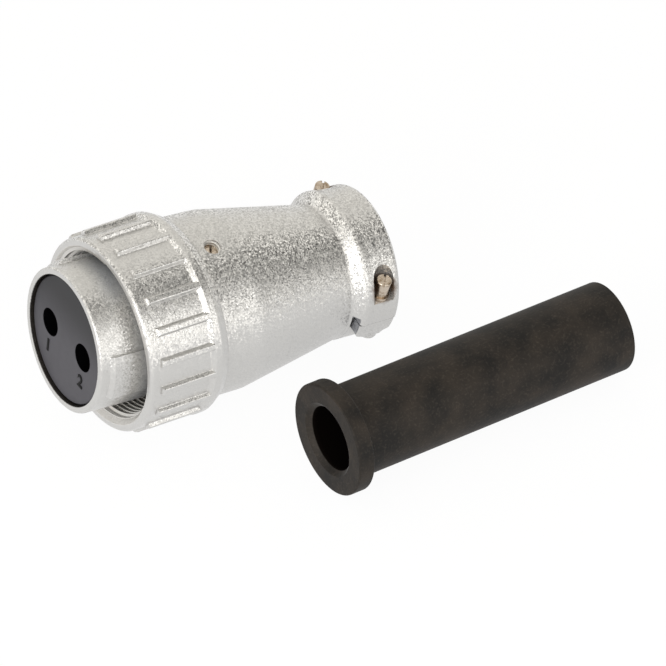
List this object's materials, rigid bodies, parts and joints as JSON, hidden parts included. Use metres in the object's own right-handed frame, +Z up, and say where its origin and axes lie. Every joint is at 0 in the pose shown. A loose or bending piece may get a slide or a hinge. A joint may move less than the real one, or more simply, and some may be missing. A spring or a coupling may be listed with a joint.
{
  "type": "inline power connector socket",
  "caption": "Round inline socket connector with a ribbed coupling ring, a conical back shell with a split cable clamp, and a flanged rubber cable sleeve lying beside it.",
  "frame": {"origin": "on the table, under the middle of the whole box", "axes": "+Z up; +X along the connector from the mating face to the cable end; the connector lies with its nose up by about 7 degrees, as it rests on its ring"},
  "size_m": [0.1296, 0.089, 0.0521],
  "materials": {
    "silver_casting": "fine cast surface under silver lacquer",
    "phenolic": "moulded phenolic, satin",
    "contact_brass": "turned brass",
    "sleeve_rubber": "matt moulded rubber",
    "seal_rubber": "matt rubber",
    "screw_steel": "clear zinc plate on steel",
    "plain_steel": "turned steel"
  },
  "bodies": {
    "connector": {"barrel": "silver_casting", "barrel_seal": "seal_rubber", "front_insert": "phenolic", "rear_insert": "phenolic", "insert_screws": "plain_steel", "back_shell": "silver_casting", "clamp_saddle": "silver_casting", "locking_screw": "plain_steel", "cable_sleeve": "sleeve_rubber", "contact_1": "contact_brass", "contact_1_spring": "plain_steel", "contact_1_screws": "plain_steel", "clamp_screw_1": "screw_steel", "spring_washer_1": "screw_steel", "contact_2": "contact_brass", "contact_2_spring": "plain_steel", "contact_2_screws": "plain_steel", "clamp_screw_2": "screw_steel", "spring_washer_2": "screw_steel"},
    "ring": {"coupling_ring": "silver_casting"}
  },
  "joints": [
    {"name": "ring_spin", "type": "hinge", "parent": "connector", "child": "ring", "pos_m": [-0.03389, 0.01904, 0.02539], "axis": [0.9959, 0.0328, -0.0845], "continuous": true}
  ]
}
